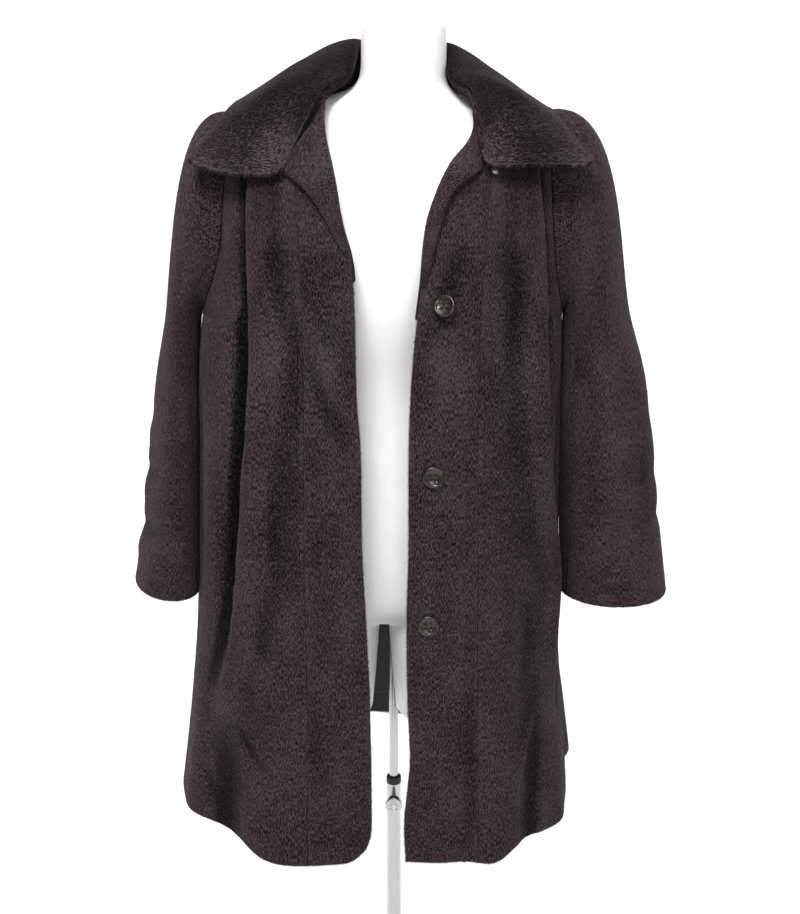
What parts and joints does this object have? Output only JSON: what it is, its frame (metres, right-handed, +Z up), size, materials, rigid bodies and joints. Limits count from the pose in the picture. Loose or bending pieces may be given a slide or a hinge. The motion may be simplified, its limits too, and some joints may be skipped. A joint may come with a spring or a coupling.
{
  "type": "wool coat on a dress form",
  "caption": "Open knee-length wool coat with a wide folded collar, worn by a smooth limbless torso form on a telescopic pole with a round base.",
  "frame": {"origin": "centre of the base's underside, on the pole's axis", "axes": "+Z up, -Y the coat's front, +X the wearer's left"},
  "size_m": [0.7055, 0.4146, 1.505],
  "materials": {
    "wool": "brushed long nap, charcoal with pale fibres",
    "satin_lining": "black satin",
    "horn": "polished, marbled dark horn",
    "stud_steel": "polished",
    "form_shell": "smooth white shell",
    "chrome": "polished",
    "black_rubber": "matt",
    "base_steel": "brushed"
  },
  "bodies": {
    "stand": {"base": "base_steel", "outer_tube": "chrome", "tube_ring": "black_rubber"},
    "knob": {"clamp_knob": "chrome"},
    "mast": {"inner_tube": "chrome"},
    "dressed_form": {"form": "form_shell", "front_right": "wool", "front_left": "wool", "side_front_right": "wool", "side_front_left": "wool", "back_right": "wool", "back_left": "wool", "upper_sleeve_right": "wool", "upper_sleeve_left": "wool", "under_sleeve_right": "wool", "under_sleeve_left": "wool", "lapel_right": "wool", "lapel_left": "wool", "collar": "wool", "lining_right": "satin_lining", "lining_left": "satin_lining", "button_1": "horn", "button_2": "horn", "button_3": "horn", "press_stud": "stud_steel"}
  },
  "joints": [
    {"name": "height", "type": "slide", "parent": "stand", "child": "mast", "axis": [0, 0, 1], "range_m": [-0.1, 0.18]},
    {"name": "form_turn", "type": "hinge", "parent": "mast", "child": "dressed_form", "pos_m": [0, 0, 0.8], "axis": [0, 0, 1], "continuous": true},
    {"name": "knob_turn", "type": "hinge", "parent": "stand", "child": "knob", "pos_m": [0, -0.02, 0.468], "axis": [0, 1, 0], "range_deg": [-180, 180]}
  ]
}
